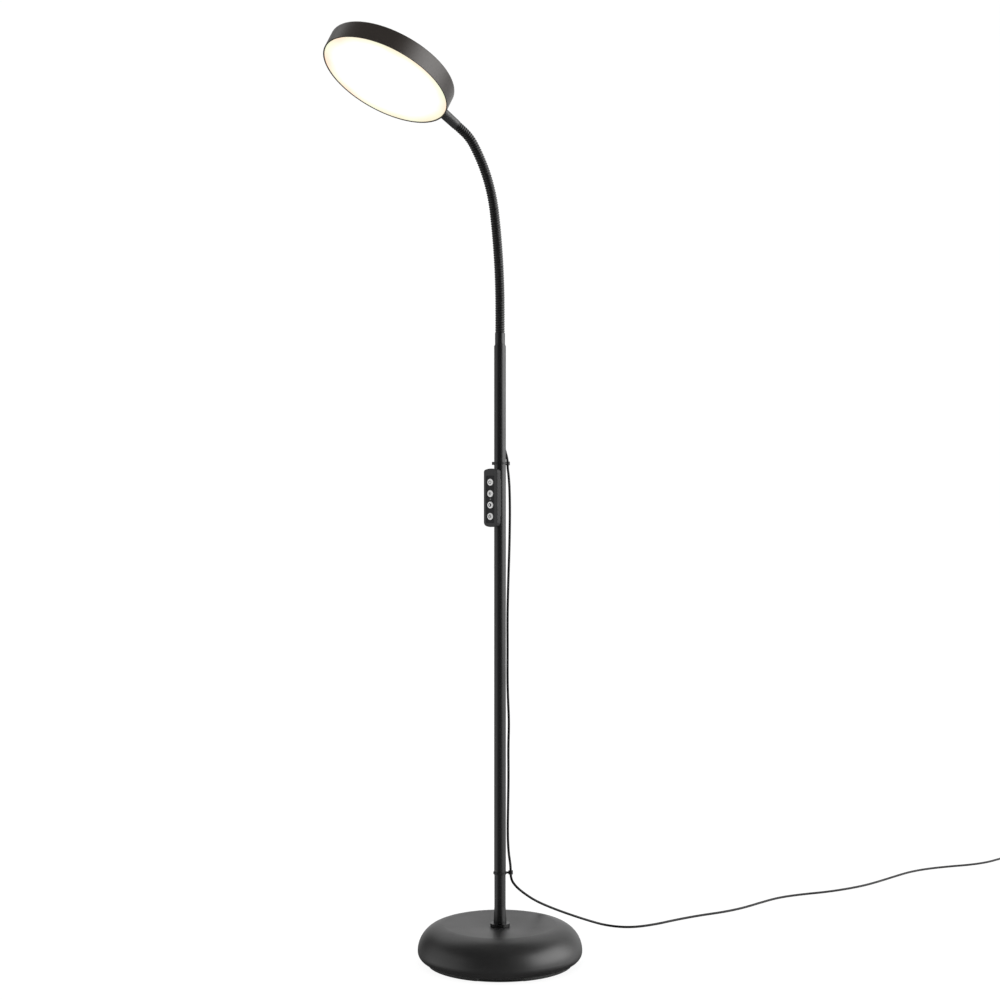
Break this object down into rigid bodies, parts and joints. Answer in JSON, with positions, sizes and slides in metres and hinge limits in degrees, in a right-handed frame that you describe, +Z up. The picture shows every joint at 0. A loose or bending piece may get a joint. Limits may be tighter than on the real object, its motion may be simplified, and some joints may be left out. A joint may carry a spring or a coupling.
{
  "type": "gooseneck floor lamp",
  "caption": "Black floor reading lamp: weighted round base, slim pole with a button panel, ribbed flexible neck and a flat round LED head, with its power lead.",
  "frame": {"origin": "on the floor at the pole's axis", "axes": "+Z up along the pole; the head leans towards -X and -Y; -Y faces the viewer of the front view"},
  "size_m": [1.525, 1.0804, 1.4689],
  "materials": {
    "base_paint": "satin black paint",
    "plate_steel": "plain black paint",
    "iron": "rough",
    "steel": "plain",
    "foot_rubber": "matte",
    "pole_paint": "satin black paint",
    "neck_coat": "satin black coat",
    "head_shell": "satin charcoal paint",
    "board": "white solder mask",
    "chip": "phosphor",
    "reflector_white": "gloss",
    "diffuser_opal": "opal",
    "panel_plastic": "fine texture",
    "button_white": "satin",
    "lens": "clear",
    "circuit": "solder mask",
    "clip_plastic": "fine texture",
    "cord_rubber": "satin",
    "tie": "matte",
    "adapter_plastic": "fine texture",
    "pin_metal": "nickel plated"
  },
  "bodies": {
    "stand": {"base_cover": "base_paint", "base_weight": "iron", "base_plate": "plate_steel", "base_screws": "steel", "foot_pad_1": "foot_rubber", "foot_pad_2": "foot_rubber", "foot_pad_3": "foot_rubber", "foot_pad_4": "foot_rubber", "pole_foot": "pole_paint", "foot_gasket": "foot_rubber", "foot_stud": "steel", "pole_lower_tube": "pole_paint", "pole_middle_tube": "pole_paint", "pole_upper_tube": "pole_paint", "pole_joint_lower": "steel", "pole_joint_upper": "steel", "neck_collar": "pole_paint", "neck_hose_1": "neck_coat", "panel_front": "panel_plastic", "panel_rear": "panel_plastic", "panel_screws": "steel", "control_board": "circuit", "switches": "clip_plastic", "indicator_lens": "lens", "upper_cord_clip": "clip_plastic", "lower_cord_clip": "clip_plastic", "cord_grommet": "clip_plastic", "cord_run": "cord_rubber", "cord_coil": "cord_rubber", "cord_tail": "cord_rubber", "coil_tie": "tie", "adapter_body": "adapter_plastic", "adapter_relief": "cord_rubber", "adapter_pins": "pin_metal"},
    "neck_1": {"neck_hose_2": "neck_coat"},
    "neck_2": {"neck_hose_3": "neck_coat"},
    "neck_3": {"neck_hose_4": "neck_coat"},
    "neck_4": {"neck_hose_5": "neck_coat"},
    "neck_5": {"neck_hose_6": "neck_coat"},
    "neck_6": {"neck_hose_7": "neck_coat"},
    "neck_7": {"neck_hose_8": "neck_coat"},
    "head": {"neck_hose_9": "neck_coat", "head_ferrule": "pole_paint", "head_housing": "head_shell", "head_nut": "steel", "led_board": "board", "led_chips": "chip", "head_screws": "steel", "reflector": "reflector_white", "diffuser": "diffuser_opal"},
    "power_button": {"power_button": "button_white"},
    "brightness_button": {"brightness_button": "button_white"},
    "colour_button": {"colour_button": "button_white"},
    "timer_button": {"timer_button": "button_white"}
  },
  "joints": [
    {"name": "neck_sway_1", "type": "hinge", "parent": "stand", "child": "neck_1", "pos_m": [-0.0007, -0.00049, 1.09699], "axis": [-0.8185, -0.5731, -0.0389], "range_deg": [-10.8, 10.8]},
    {"name": "neck_bend_1", "type": "hinge", "parent": "neck_1", "child": "neck_2", "pos_m": [-0.00327, -0.00229, 1.14789], "axis": [0.5736, -0.8192, 0], "range_deg": [-9.6, 9.6]},
    {"name": "neck_sway_2", "type": "hinge", "parent": "neck_2", "child": "neck_3", "pos_m": [-0.00709, -0.00496, 1.19264], "axis": [-0.8129, -0.5692, -0.1234], "range_deg": [-10.8, 10.8]},
    {"name": "neck_bend_2", "type": "hinge", "parent": "neck_3", "child": "neck_4", "pos_m": [-0.0133, -0.00931, 1.23696], "axis": [0.5736, -0.8192, 0], "range_deg": [-9.6, 9.6]},
    {"name": "neck_sway_3", "type": "hinge", "parent": "neck_4", "child": "neck_5", "pos_m": [-0.01814, -0.0127, 1.25659], "axis": [-0.7739, -0.5419, -0.3279], "range_deg": [-10.8, 10.8]},
    {"name": "neck_bend_3", "type": "hinge", "parent": "neck_5", "child": "neck_6", "pos_m": [-0.0243, -0.01701, 1.27565], "axis": [0.5736, -0.8192, 0], "range_deg": [-9.6, 9.6]},
    {"name": "neck_bend_4", "type": "hinge", "parent": "neck_6", "child": "neck_7", "pos_m": [-0.04044, -0.02831, 1.31155], "axis": [0.5736, -0.8192, 0], "range_deg": [-9.6, 9.6]},
    {"name": "neck_bend_5", "type": "hinge", "parent": "neck_7", "child": "head", "pos_m": [-0.05463, -0.03825, 1.33075], "axis": [0.5736, -0.8192, 0], "range_deg": [-9.6, 9.6]},
    {"name": "power_button_press", "type": "slide", "parent": "stand", "child": "power_button", "axis": [0.6018, 0.7986, 0], "range_m": [0, 0.0006], "stiffness_N_per_m": 2000, "springref_m": -0.0002},
    {"name": "brightness_button_press", "type": "slide", "parent": "stand", "child": "brightness_button", "axis": [0.6018, 0.7986, 0], "range_m": [0, 0.0006], "stiffness_N_per_m": 2000, "springref_m": -0.0002},
    {"name": "colour_button_press", "type": "slide", "parent": "stand", "child": "colour_button", "axis": [0.6018, 0.7986, 0], "range_m": [0, 0.0006], "stiffness_N_per_m": 2000, "springref_m": -0.0002},
    {"name": "timer_button_press", "type": "slide", "parent": "stand", "child": "timer_button", "axis": [0.6018, 0.7986, 0], "range_m": [0, 0.0006], "stiffness_N_per_m": 2000, "springref_m": -0.0002}
  ]
}
